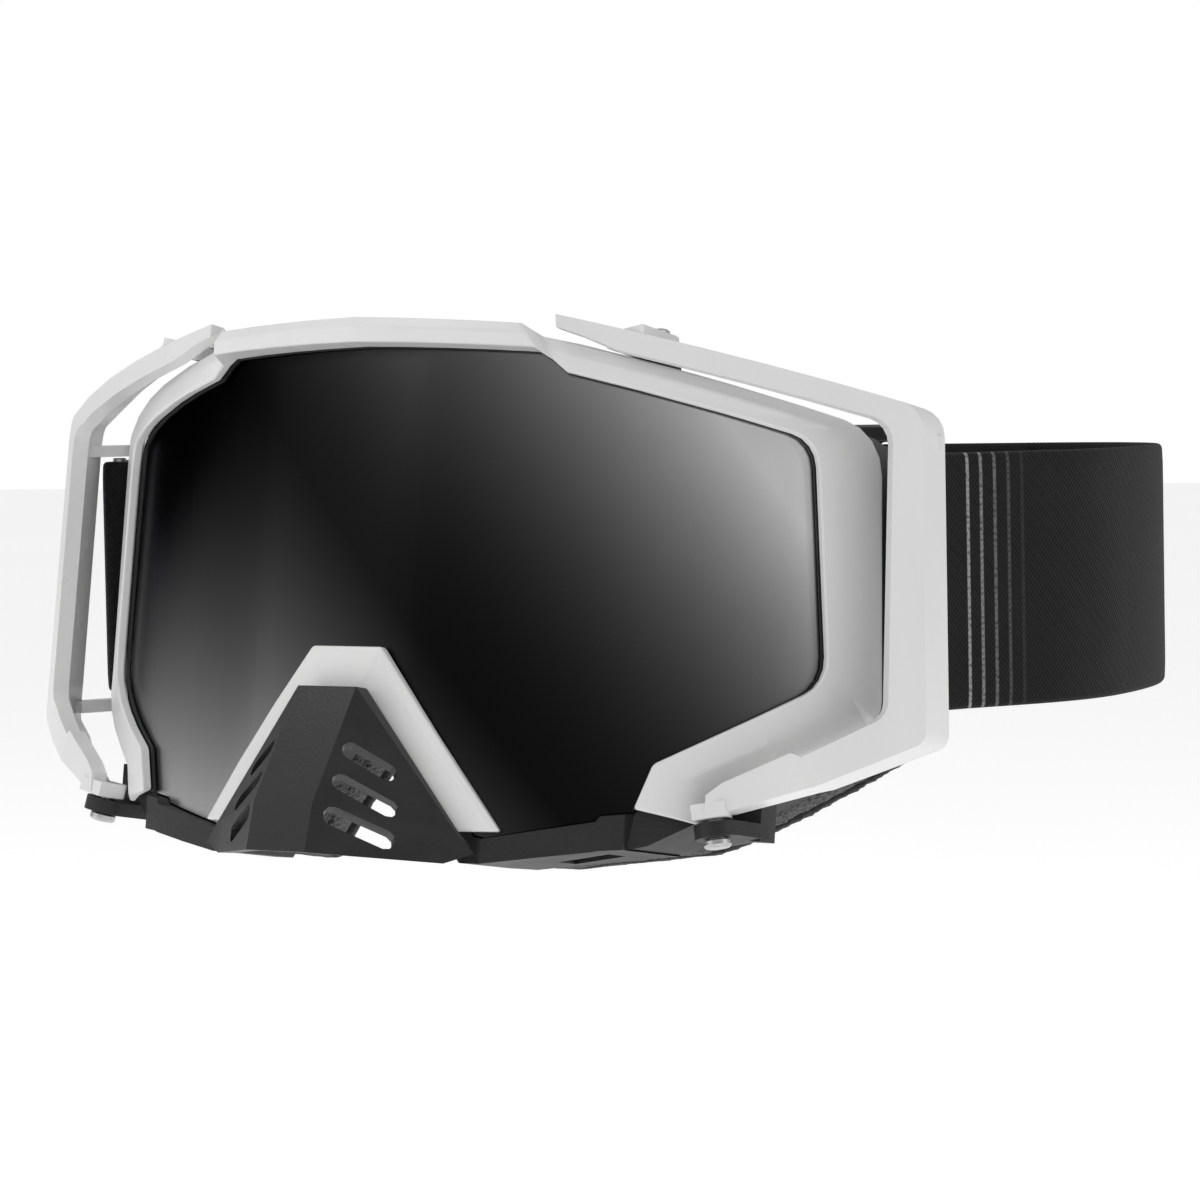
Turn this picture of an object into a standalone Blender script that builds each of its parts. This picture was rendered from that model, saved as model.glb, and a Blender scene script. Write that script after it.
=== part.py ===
"""Motorcycle goggles, built piece by piece.

World: +X is the wearer's left, -Y the front, +Z up.  The origin is the middle
of the plane where the face foam meets the face.  All lengths in the tables are
millimetres; MM turns them into metres.

The lens, frame, chassis and foam lean back by LEAN, so they are laid out in a
"lens frame": u runs along the arc of the lens cylinder, z runs up it, and off
is the height above the lens cylinder (negative is behind it).
The strap is level and is laid out in plan.
"""
import math

import bmesh
import bpy
from mathutils import Euler, Matrix, Vector

MM = 0.001
GAP = 0.3                      # clearance between touching pieces

# ---- driving dimensions ----------------------------------------------------
LEAN = math.radians(9.49)      # the lens leans back, top to the rear
LENS_R = 98.0                  # radius of the lens cylinder at the frame face
FACE_Y = 37.4                  # lens face to face-foam plane, along Y
FACE_Z = 8.0                   # origin height above the lens frame's zero

FRAME_BACK = -2.2              # back of the white frame at the opening
FRAME_BACK_OUT = -3.0          # and at its outer edge
GASKET = (-2.5, -3.1)
LENS = (-3.4, -5.2)
CHASSIS_STEP = -5.5            # the ledge behind the lens
CHASSIS_FRONT = -3.4
STRIP_FRONT = -0.9             # lower strip, flush with the frame
BRIDGE_PROUD = 4.5             # the raised brow bridge

REAR_Y = 20.0                  # chassis rear plane at the centre
REAR_CURVE = 160.0             # rear follows y = REAR_Y + x*x / REAR_CURVE
FOAM_LAYERS = (("foam_base", 6.0), ("foam_middle", 7.0), ("foam_fleece", 3.0))

ARM_R = 130.0                  # radius of the outrigger's front face
ARM_Y = -0.45                  # its front at the centre line
ARM_PLATE = 3.0                # thickness of its front plate
ARM_WALL = 2.0                 # thickness of its skirt

PIVOT_TOP = Vector((47.0, 22.0, 45.1))       # lens frame
PIVOT_LOW = Vector((64.5, 21.5, -38.6))
PIN_R = 1.5
PIN_HEAD_R = 2.4
PIN_HEAD = 1.4

STRAP_W = 45.0
STRAP_T = 1.8
STRAP_Z = -1.0                 # height of the strap's middle, level frame
ROD = (86.5, 51.4)             # strap bar, plan position, level frame
ROD_R = 1.3
ROD_Z = (-24.6, 22.2)
STRAP_REAR_Y = 155.0

SLIDER_X = 28.0
GRIP_Z = (-14.0, 0.0, 14.0)    # silicone lines, from the strap's middle

# Half outlines from the top centre to the bottom, (u, z, corner radius).
# opening and outer edge of the white frame, points on an arc, points after it
FRAME_HALF = (
    ((0.0, 43.0, 0), (0.0, 47.4, 0), 0, 4, BRIDGE_PROUD),
    ((33.2, 42.3, 0), (30.8, 46.4, 0), 0, 1, BRIDGE_PROUD),
    ((35.6, 41.0, 0), (33.7, 44.9, 0), 0, 1, 0.0),
    ((38.4, 38.8, 0), (40.0, 43.9, 0), 0, 5, 0.0),
    ((83.3, 30.2, 6), (96.0, 33.0, 10), 4, 3, 0.0),
    ((88.0, -11.8, 7), (99.3, -17.8, 6), 4, 4, 0.0),
    ((57.6, -27.8, 1.2), (68.0, -31.9, 1.5), 1, 1, 0.0),
    ((54.7, -35.7, 0), (66.2, -37.6, 0), 0, 0, 0.0),
)
# opening, lens edge and outer edge of the black chassis, front offset
CHASSIS_HALF = (
    ((0.0, 40.2, 0), (0.0, 44.8, 0), (0.0, 46.6, 0), 0, 3, CHASSIS_FRONT),
    ((33.5, 39.2, 0), (34.4, 42.9, 0), (34.0, 44.4, 0), 0, 1, CHASSIS_FRONT),
    ((40.0, 35.6, 0), (40.2, 40.8, 0), (40.4, 43.0, 0), 0, 5, CHASSIS_FRONT),
    ((79.5, 27.0, 5), (86.0, 32.0, 7.5), (94.6, 32.2, 9), 3, 2, CHASSIS_FRONT),
    ((84.0, -9.5, 6), (90.6, -13.2, 8), (98.0, -20.6, 7), 3, 3, CHASSIS_FRONT),
    ((55.4, -25.0, 0), (60.6, -30.2, 0), (57.6, -41.8, 0), 0, 1, CHASSIS_FRONT),
    ((51.0, -30.5, 0), (54.9, -36.1, 0), (53.9, -42.7, 0), 0, 1, CHASSIS_FRONT),
    ((50.2, -30.9, 0), (53.2, -36.3, 0), (53.2, -42.8, 0), 0, 1, STRIP_FRONT),
    ((48.4, -31.4, 0), (49.0, -36.9, 0), (49.0, -43.2, 0), 0, 1, STRIP_FRONT),
    ((47.4, -31.8, 0), (48.2, -37.9, 0), (47.8, -43.5, 0), 0, 2, STRIP_FRONT),
    ((33.5, -35.2, 0), (28.6, -42.0, 0), (28.4, -46.6, 0), 0, 1, STRIP_FRONT),
    ((31.0, -34.4, 0), (26.6, -41.6, 0), (24.0, -46.6, 0), 0, 3, CHASSIS_FRONT),
    ((5.8, -9.0, 0), (4.4, -14.0, 0), (3.4, -19.6, 0), 0, 1, CHASSIS_FRONT),
    ((0.0, -9.0, 0), (0.0, -14.0, 0), (0.0, -19.6, 0), 0, 0, CHASSIS_FRONT),
)
# inner and outer edge of the white chevron on the lens
CHEVRON_HALF = (
    ((0.0, -18.2, 0), (0.0, -9.9, 0), 0, 1, 0.0),
    ((3.2, -18.2, 0), (7.3, -9.9, 1), 2, 3, 0.0),
    ((23.0, -41.3, 0), (31.7, -41.0, 0), 0, 0, 0.0),
)
CHEVRON = (-3.1, -0.6)
# outrigger: outer and inner edge along its own cylinder, skirt depth
ARM_HALF = (
    ((36.6, 48.4, 0), (36.8, 46.2, 0), 0, 1, 4.0),
    ((43.0, 47.2, 0), (41.5, 44.8, 0), 0, 1, 4.6),
    ((50.0, 45.9, 0), (48.0, 42.4, 0), 0, 4, 5.4),
    ((101.4, 36.2, 5), (96.2, 33.2, 4.5), 4, 4, 8.0),
    ((105.4, -21.2, 3), (98.2, -17.2, 4), 4, 2, 8.5),
    ((86.0, -30.2, 0), (83.4, -25.3, 0), 0, 1, 7.0),
    ((84.0, -30.8, 0), (81.6, -24.7, 0), 0, 1, 6.6),
    ((70.5, -35.6, 0), (70.2, -30.6, 0), 0, 1, 5.0),
    ((67.6, -36.3, 0), (67.6, -32.8, 0), 0, 0, 4.6),
)

# nose guard, right half, lens frame x, y, z
GUARD_TOP = (6.0, -3.8, -17.4)
GUARD_BREAK = (6.0, -14.8, -38.3)
GUARD_LOW = (6.0, -16.1, -46.7)
GUARD_SIDE = (24.9, 1.6, -41.6)
GUARD_TIP = (27.9, 3.0, -45.0)
GUARD_FOOT = (23.5, 0.4, -47.0)
GUARD_WALL = 1.8
GUARD_RIM = 0.6                # how near its rim comes to the chevron
GUARD_SLOTS = (                # ends of each slot's middle line, on the flank
    ((8.4, -7.7, -28.6), (14.0, -4.0, -32.0)),
    ((8.6, -10.4, -34.2), (15.8, -5.7, -38.2)),
    ((9.0, -12.9, -40.0), (16.4, -6.8, -43.4)),
)
SLOT_H = 3.1

COLOURS = {
    "white": ((0.82, 0.82, 0.81), 0.28, 0.0),
    "black": ((0.018, 0.018, 0.019), 0.45, 0.0),
    "mirror": ((0.62, 0.63, 0.64), 0.08, 1.0),
    "rubber": ((0.02, 0.02, 0.02), 0.7, 0.0),
    "foam": ((0.11, 0.11, 0.115), 0.95, 0.0),
    "fleece": ((0.03, 0.03, 0.032), 0.95, 0.0),
    "webbing": ((0.012, 0.012, 0.013), 0.85, 0.0),
    "steel": ((0.55, 0.55, 0.56), 0.3, 1.0),
    "silicone": ((0.30, 0.30, 0.31), 0.5, 0.0),
}


# ---- scene helpers ---------------------------------------------------------
def clear_scene():
    for obj in list(bpy.data.objects):
        bpy.data.objects.remove(obj, do_unlink=True)


def material(key):
    name = "mat_" + key
    found = bpy.data.materials.get(name)
    if found:
        return found
    colour, rough, metal = COLOURS[key]
    mat = bpy.data.materials.new(name)
    mat.use_nodes = True
    shader = mat.node_tree.nodes["Principled BSDF"]
    shader.inputs["Base Color"].default_value = (*colour, 1.0)
    shader.inputs["Roughness"].default_value = rough
    shader.inputs["Metallic"].default_value = metal
    return mat


def empty(name, parent=None, location=(0, 0, 0), rotation=(0, 0, 0)):
    obj = bpy.data.objects.new(name, None)
    bpy.context.scene.collection.objects.link(obj)
    obj.empty_display_size = 0.01
    obj.parent = parent
    obj.location = Vector(location) * MM
    obj.rotation_euler = rotation
    return obj


def solid(name, bm, key, parent, origin=(0, 0, 0), smooth=35.0):
    """Make an object of a bmesh in millimetres, its origin moved to origin."""
    bmesh.ops.recalc_face_normals(bm, faces=bm.faces[:])
    shift = Vector(origin)
    for v in bm.verts:
        v.co = (v.co - shift) * MM
    mesh = bpy.data.meshes.new(name)
    limit = math.radians(smooth)
    for edge in bm.edges:
        if len(edge.link_faces) == 2 and edge.calc_face_angle(0.0) > limit:
            edge.smooth = False
    for face in bm.faces:
        face.smooth = True
    bm.to_mesh(mesh)
    bm.free()
    obj = bpy.data.objects.new(name, mesh)
    bpy.context.scene.collection.objects.link(obj)
    obj.parent = parent
    obj.location = shift * MM
    mesh.materials.append(material(key))
    return obj


def cutter(name, bm, parent, origin=(0, 0, 0)):
    obj = solid(name, bm, "steel", parent, origin)
    obj.hide_render = True
    obj.display_type = "WIRE"
    return obj


def boolean(obj, other, operation):
    mod = obj.modifiers.new(other.name, "BOOLEAN")
    mod.operation = operation
    mod.solver = "EXACT"
    mod.use_self = True
    mod.object = other


# ---- shape helpers ---------------------------------------------------------
def wrap(u, z, off):
    """A point at arc length u and height off above the lens cylinder."""
    angle = u / LENS_R
    radius = LENS_R + off
    return Vector((radius * math.sin(angle), LENS_R - radius * math.cos(angle), z))


def wrap_arm(u, z, off):
    """The same on the outrigger's own, flatter cylinder."""
    angle = u / ARM_R
    radius = ARM_R + off
    return Vector((radius * math.sin(angle), ARM_Y + ARM_R - radius * math.cos(angle), z))


def rear_y(x):
    return REAR_Y + x * x / REAR_CURVE


def arc_points(before, corner, after, radius, count):
    """Points of a rounded corner of an open outline."""
    p = Vector(corner)
    a = (Vector(before) - p).normalized()
    b = (Vector(after) - p).normalized()
    half = a.angle(b) / 2.0
    reach = radius / math.tan(half)
    centre = p + (a + b).normalized() * (radius / math.sin(half))
    start = p + a * reach - centre
    end = p + b * reach - centre
    first = math.atan2(start.y, start.x)
    turn = math.atan2(end.y, end.x) - first
    if turn > math.pi:
        turn -= 2.0 * math.pi
    if turn < -math.pi:
        turn += 2.0 * math.pi
    out = []
    for i in range(count + 1):
        ang = first + turn * i / count
        out.append(centre + Vector((radius * math.cos(ang), radius * math.sin(ang))))
    return out


def outline(table, column):
    """Points of one edge of a half outline, with the corners rounded."""
    corners = [row[column] for row in table]
    arcs = [row[-3] for row in table]
    segs = [row[-2] for row in table]
    pieces = []
    for i, (u, z, radius) in enumerate(corners):
        inside = 0 < i < len(corners) - 1
        if inside and arcs[i] > 0:
            pieces.append(arc_points(corners[i - 1][:2], (u, z), corners[i + 1][:2],
                                     max(radius, 0.2), arcs[i]))
        else:
            pieces.append([Vector((u, z))])
    out = []
    for i, piece in enumerate(pieces):
        out.extend(piece)
        if i + 1 == len(pieces):
            break
        for k in range(1, segs[i]):
            out.append(piece[-1].lerp(pieces[i + 1][0], k / segs[i]))
    return out


def along(table):
    """The last value of each row, spread over the points of outline()."""
    out = []
    for i, row in enumerate(table):
        inside = 0 < i < len(table) - 1
        out.extend([row[-1]] * (row[-3] + 1 if inside and row[-3] > 0 else 1))
        if i + 1 == len(table):
            break
        step = table[i + 1][-1] - row[-1]
        for k in range(1, row[-2]):
            out.append(row[-1] + step * k / row[-2])
    return out


def sweep(sections, closed):
    """Join loops of points, one after another, into a closed body."""
    bm = bmesh.new()
    rings = [[bm.verts.new(p) for p in section] for section in sections]
    count = len(rings[0])
    last = len(rings) if closed else len(rings) - 1
    for i in range(last):
        a = rings[i]
        b = rings[(i + 1) % len(rings)]
        for k in range(count):
            n = (k + 1) % count
            bm.faces.new((a[k], a[n], b[n], b[k]))
    if not closed:
        bm.faces.new(rings[0])
        bm.faces.new(list(reversed(rings[-1])))
    return bm


def mirror_x(points):
    return [Vector((-p.x, p.y, p.z)) for p in points]


def both_sides(half):
    """Stations from the left tip over the centre to the right tip."""
    return [mirror_x(s) for s in reversed(half[1:])] + half


def all_round(half):
    """Stations once round, from the top centre by the right side."""
    return half + [mirror_x(s) for s in reversed(half[1:-1])]


def box(bm, centre, size, turn=None):
    matrix = Matrix.Translation(Vector(centre))
    if turn is not None:
        matrix = matrix @ turn.to_matrix().to_4x4()
    matrix = matrix @ Matrix.Diagonal((*size, 1.0))
    return bmesh.ops.create_cube(bm, size=1.0, matrix=matrix)["verts"]


def rod(bm, start, end, radius, sides=16):
    """A capped cylinder from start to end."""
    a = Vector(start)
    b = Vector(end)
    turn = (b - a).to_track_quat("Z", "Y").to_matrix().to_4x4()
    matrix = Matrix.Translation((a + b) / 2.0) @ turn
    bmesh.ops.create_cone(bm, cap_ends=True, segments=sides, radius1=radius,
                          radius2=radius, depth=(b - a).length, matrix=matrix)


# ---- the frame, lens and chassis -------------------------------------------
def make_front_frame(parent):
    inner = outline(FRAME_HALF, 0)
    outer = outline(FRAME_HALF, 1)
    proud = along(FRAME_HALF)
    half = []
    for o, p, rise in zip(inner, outer, proud):
        crease = 1.8 if o.y < -12.0 else 0.7
        front = rise * 0.86
        mid = o.lerp(p, 0.55)
        lip = o.lerp(p, 0.5)
        half.append([
            wrap(o.x, o.y, front - 0.4),
            wrap(mid.x, mid.y, rise),
            wrap(p.x, p.y, rise - crease),
            wrap(p.x, p.y, FRAME_BACK_OUT),
            wrap(lip.x, lip.y, FRAME_BACK),
            wrap(o.x, o.y, FRAME_BACK),
        ])
    return solid("front_frame", sweep(both_sides(half), False), "white", parent)


def make_gasket(parent):
    inner = outline(FRAME_HALF, 0)
    outer = outline(FRAME_HALF, 1)
    half = []
    for o, p in zip(inner, outer):
        out = (p - o).normalized()
        a = o - out * 0.1
        b = o + out * 1.5
        half.append([wrap(a.x, a.y, GASKET[0]), wrap(b.x, b.y, GASKET[0]),
                     wrap(b.x, b.y, GASKET[1]), wrap(a.x, a.y, GASKET[1])])
    return solid("lens_gasket", sweep(both_sides(half), False), "rubber", parent)


def make_lens(parent):
    """A curved plate: the outline is filled flat, cut into strips and bent."""
    half = outline(CHASSIS_HALF, 1)
    loop = half + [Vector((-p.x, p.y)) for p in reversed(half[1:-1])]
    bm = bmesh.new()
    ring = [bm.verts.new((p.x, 0.0, p.y)) for p in loop]
    bmesh.ops.triangulate(bm, faces=[bm.faces.new(ring)])
    strips = 16
    for i in range(1, strips):
        u = -92.0 + 184.0 * i / strips
        bmesh.ops.bisect_plane(bm, geom=bm.verts[:] + bm.edges[:] + bm.faces[:],
                               plane_co=(u, 0, 0), plane_no=(1, 0, 0), dist=0.05)
    flat = bm.faces[:]
    made = bmesh.ops.extrude_face_region(bm, geom=flat)["geom"]
    back = {g for g in made if isinstance(g, bmesh.types.BMVert)}
    for v in bm.verts:
        v.co = wrap(v.co.x, v.co.z, LENS[1] if v in back else LENS[0])
    return solid("lens", bm, "mirror", parent)


def make_chassis(parent):
    inner = outline(CHASSIS_HALF, 0)
    edge = outline(CHASSIS_HALF, 1)
    outer = outline(CHASSIS_HALF, 2)
    front = along(CHASSIS_HALF)
    half = []
    for i, (hole, lip, out) in enumerate(zip(inner, edge, outer)):
        way = (out - hole).normalized()
        lip = lip + way * 0.4
        f = front[i]
        a = wrap(out.x, out.y, f)
        b = wrap(lip.x, lip.y, f)
        c = wrap(lip.x, lip.y, CHASSIS_STEP)
        d = wrap(hole.x, hole.y, CHASSIS_STEP)
        e = Vector((d.x, rear_y(d.x), d.z))
        g = Vector((a.x, rear_y(a.x), a.z))
        if i in (0, len(inner) - 1):
            for p in (a, b, c, d, e, g):
                p.x = 0.0
        half.append([a, b, c, d, e, g])
    return solid("chassis", sweep(all_round(half), True), "black", parent)


def pivot_points(side):
    top = Vector((side * PIVOT_TOP.x, PIVOT_TOP.y, PIVOT_TOP.z))
    low = Vector((side * PIVOT_LOW.x, PIVOT_LOW.y, PIVOT_LOW.z))
    return top, low, (top - low).normalized()


def add_lugs(chassis, parent):
    """Lugs that the outriggers pivot on, added to the chassis, and bored."""
    lugs = bmesh.new()
    holes = bmesh.new()
    for side in (-1, 1):
        top, low, axis = pivot_points(side)
        rod(lugs, top - axis * 5.2, top - axis * 1.6, 3.6)
        tongue(lugs, low, axis, Vector((0.0, 12.0, 0.0)), 3.8, 1.3)
        box(lugs, (low.x, low.y + 12.2, low.z + 3.6), (7.0, 5.6, 9.4))
        rod(holes, top - axis * 4.4, top + axis * 2.0, PIN_R + GAP)
        rod(holes, low - axis * 6.0, low + axis * 6.0, PIN_R + GAP)
    boolean(chassis, cutter("cut_lugs", lugs, parent), "UNION")
    boolean(chassis, cutter("cut_lug_holes", holes, parent), "DIFFERENCE")


def add_vents(chassis, parent):
    """Air slots through the brow and the lower walls of the chassis."""
    slots = bmesh.new()
    for side in (-1, 1):
        for x in (8.5, 24.5):
            box(slots, (side * x, 13.0 + x * x / 190.0, 44.0), (12.5, 7.0, 12.0))
        box(slots, (side * 40.5, 21.5, -39.0), (10.0, 6.0, 18.0))
    boolean(chassis, cutter("cut_vents", slots, parent), "DIFFERENCE")


def make_foam(parent):
    """Three layers of face foam, each a ring behind the last."""
    inner = outline(CHASSIS_HALF, 0)
    outer = outline(CHASSIS_HALF, 2)
    depth = 2.0 * GAP
    for name, thick in FOAM_LAYERS:
        half = []
        for i, (hole, out) in enumerate(zip(inner, outer)):
            h = wrap(hole.x, hole.y, CHASSIS_STEP)
            o = wrap(out.x, out.y, CHASSIS_FRONT)
            h = h.lerp(o, 0.10)
            o = o.lerp(h, 0.08)
            ring = []
            for p, d in ((o, depth), (h, depth), (h, depth + thick), (o, depth + thick)):
                x = 0.0 if i in (0, len(inner) - 1) else p.x
                ring.append(Vector((x, rear_y(x) + d, p.z)))
            half.append(ring)
        key = "fleece" if name == "foam_fleece" else "foam"
        solid(name, sweep(all_round(half), True), key, parent)
        depth += thick + GAP


def make_vent_foam(parent):
    """Thin filter foam under the brow slots and over the lower ones."""
    stations = []
    for k in range(-5, 6):
        x = k * 6.2
        y = 13.0 + x * x / 190.0
        z = 39.7 - abs(x) * 0.032
        stations.append([Vector((x, y - 4.6, z - 1.6)), Vector((x, y + 4.6, z - 1.6)),
                         Vector((x, y + 4.6, z)), Vector((x, y - 4.6, z))])
    solid("vent_foam_top", sweep(stations, False), "foam", parent)
    for side, tag in ((-1, "right"), (1, "left")):
        bm = bmesh.new()
        tilt = Euler((0.0, -side * 0.24, 0.0))
        box(bm, (side * 40.0, 21.5, -31.2), (12.0, 8.0, 1.4), tilt)
        solid("vent_foam_low_" + tag, bm, "foam", parent)


# ---- nose -------------------------------------------------------------------
def make_chevron(parent):
    inner = outline(CHEVRON_HALF, 0)
    outer = outline(CHEVRON_HALF, 1)
    half = []
    for i, (a, b) in enumerate(zip(inner, outer)):
        mid = a.lerp(b, 0.82)
        ring = [wrap(a.x, a.y, CHEVRON[1]), wrap(mid.x, mid.y, CHEVRON[1]),
                wrap(b.x, b.y, CHEVRON[1] - 0.7), wrap(b.x, b.y, CHEVRON[0]),
                wrap(a.x, a.y, CHEVRON[0])]
        if i == 0:
            for p in ring:
                p.x = 0.0
        half.append(ring)
    return solid("nose_chevron", sweep(both_sides(half), False), "white", parent)


def on_rim(x, z):
    """A point of the guard's rim, just clear of the chevron."""
    radius = LENS_R + GUARD_RIM
    return (x, LENS_R - math.sqrt(radius * radius - x * x), z)


def make_nose_guard(parent):
    """A faceted shell with three slanted air slots in each flank."""
    bm = bmesh.new()
    marks = {
        "top": GUARD_TOP, "break": GUARD_BREAK, "low": GUARD_LOW,
        "side": GUARD_SIDE, "tip": GUARD_TIP, "foot": GUARD_FOOT,
        "top_rim": on_rim(GUARD_TOP[0], GUARD_TOP[2]),
        "side_rim": on_rim(GUARD_SIDE[0], GUARD_SIDE[2]),
        "tip_rim": (GUARD_TIP[0], GUARD_TIP[1] + 1.3, GUARD_TIP[2]),
    }
    marks.update({
        "top_in": on_rim(GUARD_TOP[0] - 1.6, GUARD_TOP[2] - 2.2),
        "side_in": on_rim(GUARD_SIDE[0] - 2.4, GUARD_SIDE[2] + 0.2),
        "tip_in": (GUARD_TIP[0] - 2.3, GUARD_TIP[1] + 0.6, GUARD_TIP[2] + 0.4),
        "foot_in": (GUARD_FOOT[0] - 1.9, GUARD_FOOT[1] + GUARD_WALL, GUARD_FOOT[2] + 0.1),
        "low_in": (GUARD_LOW[0] - 1.4, GUARD_LOW[1] + GUARD_WALL + 0.4, GUARD_LOW[2]),
        "break_in": (GUARD_BREAK[0] - 1.4, GUARD_BREAK[1] + GUARD_WALL + 0.6, GUARD_BREAK[2]),
    })
    right = {}
    left = {}
    for key, (x, y, z) in marks.items():
        right[key] = bm.verts.new((x, y, z))
        left[key] = bm.verts.new((-x, y, z))
    for a, b in (("top", "break"), ("break", "low"), ("top_rim", "top"),
                 ("top_rim", "top_in"), ("top_in", "break_in"), ("break_in", "low_in"),
                 ("low", "low_in")):
        bm.faces.new((left[a], right[a], right[b], left[b]))
    rings = (
        ("top", "side", "break"), ("break", "side", "foot", "low"), ("side", "tip", "foot"),
        ("top", "top_rim", "side_rim", "side"), ("side", "side_rim", "tip_rim", "tip"),
        ("top_rim", "side_rim", "side_in", "top_in"),
        ("side_rim", "tip_rim", "tip_in", "side_in"),
        ("tip", "tip_rim", "tip_in"), ("tip", "tip_in", "foot_in", "foot"),
        ("foot", "foot_in", "low_in", "low"),
        ("top_in", "side_in", "break_in"), ("break_in", "side_in", "foot_in", "low_in"),
        ("side_in", "tip_in", "foot_in"),
    )
    for v in (right, left):
        for keys in rings:
            bm.faces.new([v[key] for key in keys])
    bmesh.ops.triangulate(bm, faces=bm.faces[:])
    obj = solid("nose_guard", bm, "black", parent, smooth=12.0)
    slots = bmesh.new()
    for side in (-1, 1):
        flank_slots(slots, side)
    boolean(obj, cutter("cut_slots", slots, parent), "DIFFERENCE")
    return obj


def flank_slots(bm, side):
    """Rounded slot cutters, laid across one flank of the guard."""
    top = Vector(GUARD_TOP)
    normal = (Vector(GUARD_BREAK) - top).cross(Vector(GUARD_SIDE) - top).normalized()
    for start, end in GUARD_SLOTS:
        a = Vector(start)
        b = Vector(end)
        way = (b - a).normalized()
        across = normal.cross(way)
        loop = []
        half = SLOT_H / 2.0
        for centre, spin in ((b, 0.0), (a, math.pi)):
            for k in range(5):
                t = spin - math.pi / 2.0 + math.pi * k / 4.0
                loop.append(centre + way * (half * math.cos(t)) + across * (half * math.sin(t)))
        rings = []
        for reach in (-9.0, 9.0):
            ring = []
            for p in loop:
                q = p + normal * reach
                ring.append(bm.verts.new((q.x * side, q.y, q.z)))
            rings.append(ring)
        count = len(loop)
        for k in range(count):
            n = (k + 1) % count
            bm.faces.new((rings[0][k], rings[0][n], rings[1][n], rings[1][k]))
        bm.faces.new(rings[0])
        bm.faces.new(list(reversed(rings[1])))


# ---- outriggers ---------------------------------------------------------------
def make_outrigger(side, tag, parent, pivot):
    outer = outline(ARM_HALF, 0)
    inner = outline(ARM_HALF, 1)
    depth = along(ARM_HALF)
    sections = []
    for a, b, d in zip(outer, inner, depth):
        way = b - a
        room = way.length
        wall = min(ARM_WALL, room * 0.42)
        k = a + way * (wall / room)
        front_a = wrap_arm(a.x, a.y, 0.0)
        front_b = wrap_arm(b.x, b.y, 0.0)
        back_k = wrap_arm(k.x, k.y, -ARM_PLATE)
        back_b = wrap_arm(b.x, b.y, -ARM_PLATE)
        rear_a = Vector((front_a.x + 0.04 * d, front_a.y + d, front_a.z))
        rear_k = Vector((back_k.x, rear_a.y, back_k.z))
        rear_k.x = max(rear_k.x, rear_a.x - 1.1 * wall) if a.x > 95.0 else rear_k.x
        ring = [front_b, front_a, rear_a, rear_k, back_k, back_b]
        sections.append([Vector((p.x * side, p.y, p.z)) for p in ring])
    obj = solid("outrigger_" + tag, sweep(sections, False), "white", pivot[0], pivot[1])
    top, low, axis = pivot_points(side)
    for name, centre, radius, way in (
        ("top", top, 3.8, Vector((0.0, -12.0, 0.0))),
        ("low", low + axis * 3.1, 3.0, Vector((side * 1.2, -4.4, 0.0))),
    ):
        lug = bmesh.new()
        tongue(lug, centre, axis, way, radius, 1.3)
        boolean(obj, cutter("cut_arm_lug_%s_%s" % (name, tag), lug, parent), "UNION")
    for name, z, way in (
        ("high", ROD_Z[1] + GAP + 1.1, Vector((side * 4.4, -5.2, 0.0))),
        ("deep", ROD_Z[0] - GAP - 1.1, Vector((side * 4.6, -10.0, 0.0))),
    ):
        lug = bmesh.new()
        tongue(lug, Vector((side * ROD[0], ROD[1], z)), Vector((0, 0, 1)), way, 2.4, 1.1)
        boolean(obj, cutter("cut_bar_lug_%s_%s" % (name, tag), lug, parent.parent), "UNION")
    holes = bmesh.new()
    rod(holes, top - axis * 4.0, top + axis * 4.0, PIN_R + GAP)
    rod(holes, low + axis * 0.0, low + axis * 7.0, PIN_R + GAP)
    boolean(obj, cutter("cut_arm_holes_" + tag, holes, parent), "DIFFERENCE")
    return obj


def tongue(bm, centre, axis, way, radius, half):
    """A flat lug, round at the pivot and straight along way."""
    along_way = (way - axis * way.dot(axis)).normalized()
    across = axis.cross(along_way)
    loop = []
    for k in range(9):
        t = math.pi / 2.0 + math.pi * k / 8.0
        loop.append(along_way * (radius * math.cos(t)) + across * (radius * math.sin(t)))
    loop.append(along_way * way.length - across * radius)
    loop.append(along_way * way.length + across * radius)
    rings = [[bm.verts.new(centre + p + axis * (half * s)) for p in loop] for s in (-1, 1)]
    count = len(loop)
    for k in range(count):
        n = (k + 1) % count
        bm.faces.new((rings[0][k], rings[0][n], rings[1][n], rings[1][k]))
    bm.faces.new(list(reversed(rings[0])))
    bm.faces.new(rings[1])


def make_pins(side, tag, parent):
    top, low, axis = pivot_points(side)
    bm = bmesh.new()
    turned_pin(bm, top + axis * (1.3 + GAP), axis, top - axis * 4.0)
    solid("pivot_pin_top_" + tag, bm, "steel", parent)
    bm = bmesh.new()
    turned_pin(bm, low - axis * (1.3 + GAP), -axis, low + axis * 4.2)
    solid("pivot_pin_low_" + tag, bm, "steel", parent)


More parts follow.
